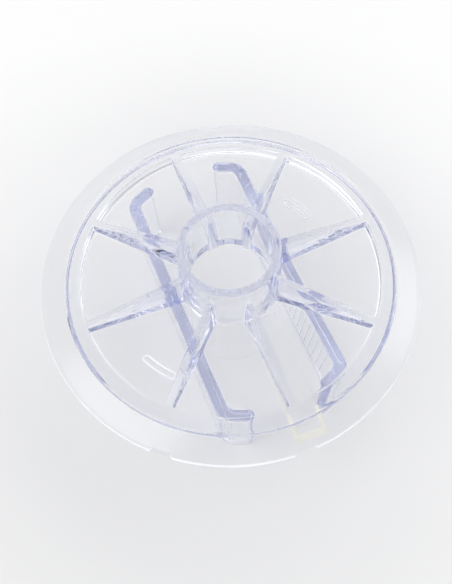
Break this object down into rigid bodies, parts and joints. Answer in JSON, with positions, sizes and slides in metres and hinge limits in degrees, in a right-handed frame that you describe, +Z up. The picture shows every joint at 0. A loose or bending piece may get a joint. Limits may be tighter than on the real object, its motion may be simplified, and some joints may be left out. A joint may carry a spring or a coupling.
{
  "type": "film developing reel flange",
  "caption": "Round clear plastic reel flange with an open centre collar, radial gusset ribs, a sloping brim and facing hooked walls underneath.",
  "frame": {"origin": "on the ground under the centre of the collar's bore, at the middle of the bounding box's bottom", "axes": "+Z up along the collar's bore; the hooked walls run 67.5 degrees clockwise from +X seen from above, and a viewer stands towards -Y"},
  "size_m": [0.1, 0.1, 0.0377],
  "materials": {
    "clear_plastic": "clear moulded plastic with a faint blue-violet tint",
    "wall_plastic": "the same clear plastic, darker where it is seen edge on",
    "aged_tape": "clear tape, slightly yellowed"
  },
  "bodies": {
    "root": {"hub_collar": "clear_plastic", "floor_disc": "clear_plastic", "rim_ring": "clear_plastic", "skirt": "clear_plastic", "rib_1": "clear_plastic", "rib_2": "clear_plastic", "rib_3": "clear_plastic", "rib_4": "clear_plastic", "rib_5": "clear_plastic", "rib_6": "clear_plastic", "rib_7": "clear_plastic", "rib_8": "clear_plastic", "hooked_wall_left": "wall_plastic", "hooked_wall_right": "wall_plastic", "tape_strip": "aged_tape"}
  },
  "joints": []
}
